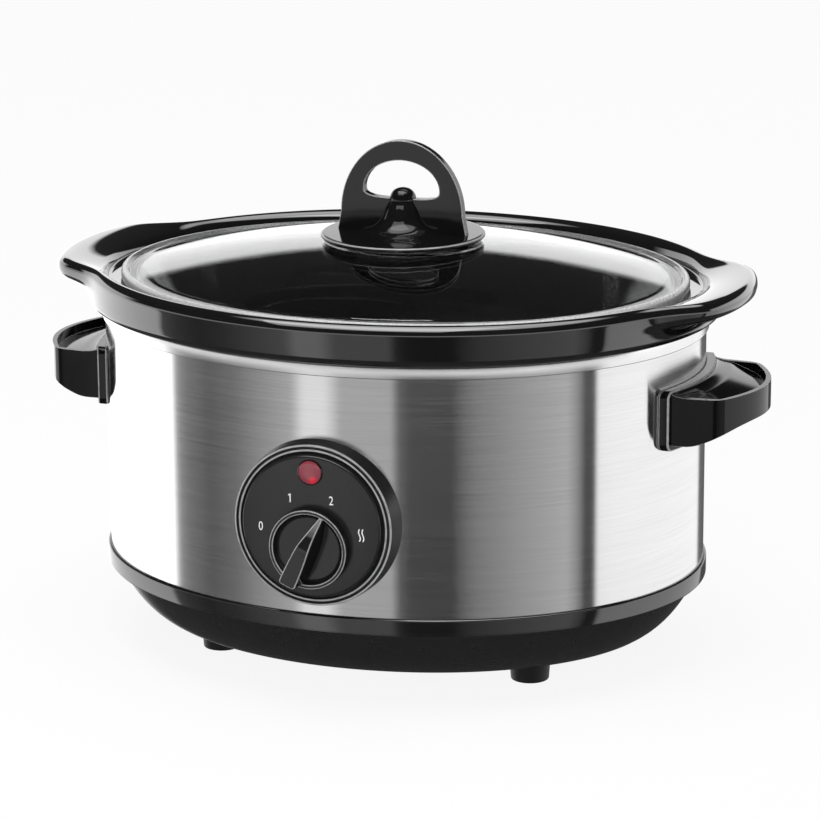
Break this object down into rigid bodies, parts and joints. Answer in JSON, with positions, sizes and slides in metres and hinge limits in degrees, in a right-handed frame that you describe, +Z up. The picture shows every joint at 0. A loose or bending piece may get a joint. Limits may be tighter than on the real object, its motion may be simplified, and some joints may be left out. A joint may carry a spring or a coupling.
{
  "type": "slow cooker",
  "caption": "Oval slow cooker: brushed steel body on a black base, lift-out black crock with ears, clear domed lid with an arch handle, side handles and a front dial.",
  "frame": {"origin": "on the table under the middle of the cooker's box, which the dial makes stand a little forward of the oval's own axis", "axes": "+Z up, +X along the oval's length towards the right handle, -Y towards the front with the dial"},
  "size_m": [0.368, 0.2854, 0.252],
  "materials": {
    "base_black": "gloss black moulding",
    "foot_rubber": "black rubber",
    "brushed_steel": "horizontally brushed stainless steel",
    "well_metal": "drawn pan with a polished bead",
    "mica": "mica-wound element",
    "spring_steel": "plated strip",
    "zinc_screw": "zinc plated",
    "cutout_body": "ceramic can",
    "fascia_black": "gloss black moulding",
    "knob_black": "satin gloss black moulding",
    "switch_body": "moulded block",
    "lens_red": "red translucent lens",
    "lamp_glass": "small neon bulb",
    "handle_black": "gloss black moulding",
    "gland_black": "black bush",
    "crock_glaze": "black glazed stoneware",
    "lid_clear": "clear toughened glass",
    "grip_black": "gloss black moulding",
    "lid_seal": "pale silicone ring"
  },
  "bodies": {
    "cooker_body": {"base_tray": "base_black", "feet": "foot_rubber", "outer_shell": "brushed_steel", "heating_well": "well_metal", "heater_band": "mica", "heater_strap": "spring_steel", "cutout_clip": "spring_steel", "tie_brackets": "spring_steel", "base_screws": "zinc_screw", "strap_bolt": "zinc_screw", "fascia_screws": "zinc_screw", "switch_screws": "zinc_screw", "handle_screws": "zinc_screw", "thermal_cutout": "cutout_body", "control_fascia": "fascia_black", "rotary_switch": "switch_body", "terminal_block": "switch_body", "pilot_lens": "lens_red", "neon_lamp": "lamp_glass", "left_handle": "handle_black", "right_handle": "handle_black", "cord_gland": "gland_black"},
    "crock": {"crock": "crock_glaze"},
    "lid": {"lid_glass": "lid_clear", "lid_handle": "grip_black", "lid_gasket": "lid_seal", "lid_washer": "zinc_screw", "lid_screw": "zinc_screw"},
    "control_knob": {"control_knob": "knob_black", "switch_shaft": "zinc_screw"}
  },
  "joints": [
    {"name": "crock_lift", "type": "slide", "parent": "cooker_body", "child": "crock", "axis": [0, 0, 1], "range_m": [0, 0.13]},
    {"name": "lid_lift", "type": "slide", "parent": "crock", "child": "lid", "axis": [0, 0, 1], "range_m": [0, 0.1]},
    {"name": "knob_turn", "type": "hinge", "parent": "cooker_body", "child": "control_knob", "pos_m": [0, -0.12875, 0.084], "axis": [0, 1, 0], "range_deg": [-96, 48]}
  ]
}
